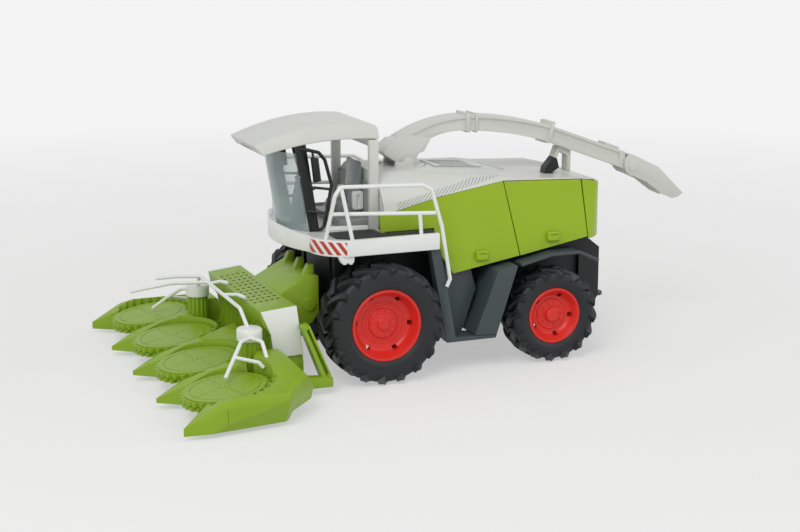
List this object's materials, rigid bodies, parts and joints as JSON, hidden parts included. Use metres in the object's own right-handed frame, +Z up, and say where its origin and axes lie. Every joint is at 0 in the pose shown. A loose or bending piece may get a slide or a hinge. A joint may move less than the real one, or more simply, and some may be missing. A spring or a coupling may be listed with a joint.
{
  "type": "toy forage harvester",
  "caption": "Toy self-propelled forage harvester: cab, hood, turning spout with flap, lifting row-crop header with turning discs, opening panels and wheels that roll and steer",
  "frame": {"origin": "on the floor, under the middle of the whole machine's length and width", "axes": "+X forward to the header's tips, +Y to the machine's left, +Z up; the floor that the tyres stand on is Z = 0"},
  "size_m": [0.458, 0.3, 0.1884],
  "materials": {
    "tyre_rubber": "black moulded tyre, satin",
    "rim_red": "red moulded plastic, satin gloss",
    "body_green": "lime green moulded plastic, satin gloss",
    "header_green": "leaf green moulded plastic, satin gloss",
    "white_shell": "off-white moulded plastic, satin gloss",
    "charcoal": "charcoal moulded plastic, satin",
    "black_trim": "black moulded plastic, satin",
    "interior_grey": "light grey moulded plastic, satin",
    "white_gloss": "white moulded plastic, satin gloss",
    "clear_screen": "clear transparent plastic screen"
  },
  "bodies": {
    "machine": {"armrests": "interior_grey", "cab_frame": "white_shell", "cab_roof": "white_shell", "chassis_frame": "charcoal", "deck_tread": "black_trim", "engine_block": "charcoal", "exhaust_stack": "black_trim", "front_axle": "charcoal", "front_pillars": "black_trim", "handrails": "white_gloss", "hood": "white_shell", "hood_grille": "white_shell", "hood_strut": "white_shell", "platform": "white_gloss", "rear_axle": "charcoal", "rear_cap": "body_green", "rear_fenders": "charcoal", "rear_grille": "black_trim", "seat": "interior_grey", "side_boxes": "charcoal", "side_panels_front": "body_green", "side_steps": "charcoal", "spout_rest": "white_shell", "steering_console": "interior_grey", "tow_hitch": "charcoal", "windscreen": "clear_screen"},
    "header": {"feeder_house": "header_green", "header_frame": "header_green", "dividers": "header_green", "end_hoods": "header_green", "end_plates": "white_gloss", "guide_drums": "header_green", "drum_caps": "white_gloss", "side_arms": "header_green", "crop_guards": "white_gloss"},
    "spout_turret": {"turret": "white_shell"},
    "spout_arm": {"spout": "white_shell"},
    "spout_flap": {"spout_flap": "white_shell"},
    "left_panel": {"side_panel_rear_left": "body_green"},
    "right_panel": {"side_panel_rear_right": "body_green"},
    "left_knuckle": {"steering_knuckle_left": "charcoal"},
    "right_knuckle": {"steering_knuckle_right": "charcoal"},
    "wheel_front_left": {"rim_front_left": "rim_red", "tyre_front_left": "tyre_rubber"},
    "wheel_front_right": {"rim_front_right": "rim_red", "tyre_front_right": "tyre_rubber"},
    "wheel_rear_left": {"rim_rear_left": "rim_red", "tyre_rear_left": "tyre_rubber"},
    "wheel_rear_right": {"rim_rear_right": "rim_red", "tyre_rear_right": "tyre_rubber"},
    "disc_1": {"cutting_disc_1": "header_green"},
    "disc_2": {"cutting_disc_2": "header_green"},
    "disc_3": {"cutting_disc_3": "header_green"},
    "disc_4": {"cutting_disc_4": "header_green"}
  },
  "joints": [
    {"name": "front_left_wheel_spin", "type": "hinge", "parent": "machine", "child": "wheel_front_left", "pos_m": [0.058, 0.0645, 0.0449], "axis": [0, 1, 0], "continuous": true},
    {"name": "front_right_wheel_spin", "type": "hinge", "parent": "machine", "child": "wheel_front_right", "pos_m": [0.058, -0.0645, 0.0449], "axis": [0, 1, 0], "continuous": true},
    {"name": "left_steer", "type": "hinge", "parent": "machine", "child": "left_knuckle", "pos_m": [-0.0839, 0.036, 0.0363], "axis": [0, 0, 1], "range_deg": [-18, 18]},
    {"name": "right_steer", "type": "hinge", "parent": "machine", "child": "right_knuckle", "pos_m": [-0.0839, -0.036, 0.0363], "axis": [0, 0, 1], "range_deg": [-18, 18]},
    {"name": "rear_left_wheel_spin", "type": "hinge", "parent": "left_knuckle", "child": "wheel_rear_left", "pos_m": [-0.0839, 0.057, 0.0363], "axis": [0, 1, 0], "continuous": true},
    {"name": "rear_right_wheel_spin", "type": "hinge", "parent": "right_knuckle", "child": "wheel_rear_right", "pos_m": [-0.0839, -0.057, 0.0363], "axis": [0, 1, 0], "continuous": true},
    {"name": "header_lift", "type": "hinge", "parent": "machine", "child": "header", "pos_m": [0.102, 0, 0.0546], "axis": [0, -1, 0], "range_deg": [0, 15]},
    {"name": "disc_1_spin", "type": "hinge", "parent": "header", "child": "disc_1", "pos_m": [0.1892, -0.1089, 0.0225], "axis": [0.1219, 0, 0.9925], "continuous": true},
    {"name": "disc_2_spin", "type": "hinge", "parent": "header", "child": "disc_2", "pos_m": [0.1892, -0.0363, 0.0225], "axis": [0.1219, 0, 0.9925], "continuous": true},
    {"name": "disc_3_spin", "type": "hinge", "parent": "header", "child": "disc_3", "pos_m": [0.1892, 0.0363, 0.0225], "axis": [0.1219, 0, 0.9925], "continuous": true},
    {"name": "disc_4_spin", "type": "hinge", "parent": "header", "child": "disc_4", "pos_m": [0.1892, 0.1089, 0.0225], "axis": [0.1219, 0, 0.9925], "continuous": true},
    {"name": "spout_turn", "type": "hinge", "parent": "machine", "child": "spout_turret", "pos_m": [0.0148, 0, 0.1475], "axis": [0, 0, 1], "range_deg": [-100, 100]},
    {"name": "spout_lift", "type": "hinge", "parent": "spout_turret", "child": "spout_arm", "pos_m": [0.0148, 0, 0.1524], "axis": [0, 1, 0], "range_deg": [0, 16]},
    {"name": "flap_tilt", "type": "hinge", "parent": "spout_arm", "child": "spout_flap", "pos_m": [-0.1821, 0, 0.137], "axis": [0, 1, 0], "range_deg": [-35, 20]},
    {"name": "left_panel_open", "type": "hinge", "parent": "machine", "child": "left_panel", "pos_m": [-0.0471, 0.05109, 0.13937], "axis": [0.9992, -0.0047, 0.0386], "range_deg": [0, 75]},
    {"name": "right_panel_open", "type": "hinge", "parent": "machine", "child": "right_panel", "pos_m": [-0.0471, -0.05109, 0.13937], "axis": [-0.9992, -0.0047, -0.0386], "range_deg": [0, 75]}
  ],
  "couplings": [
    {"joint": "right_steer", "follows": "left_steer", "ratio": 1}
  ]
}
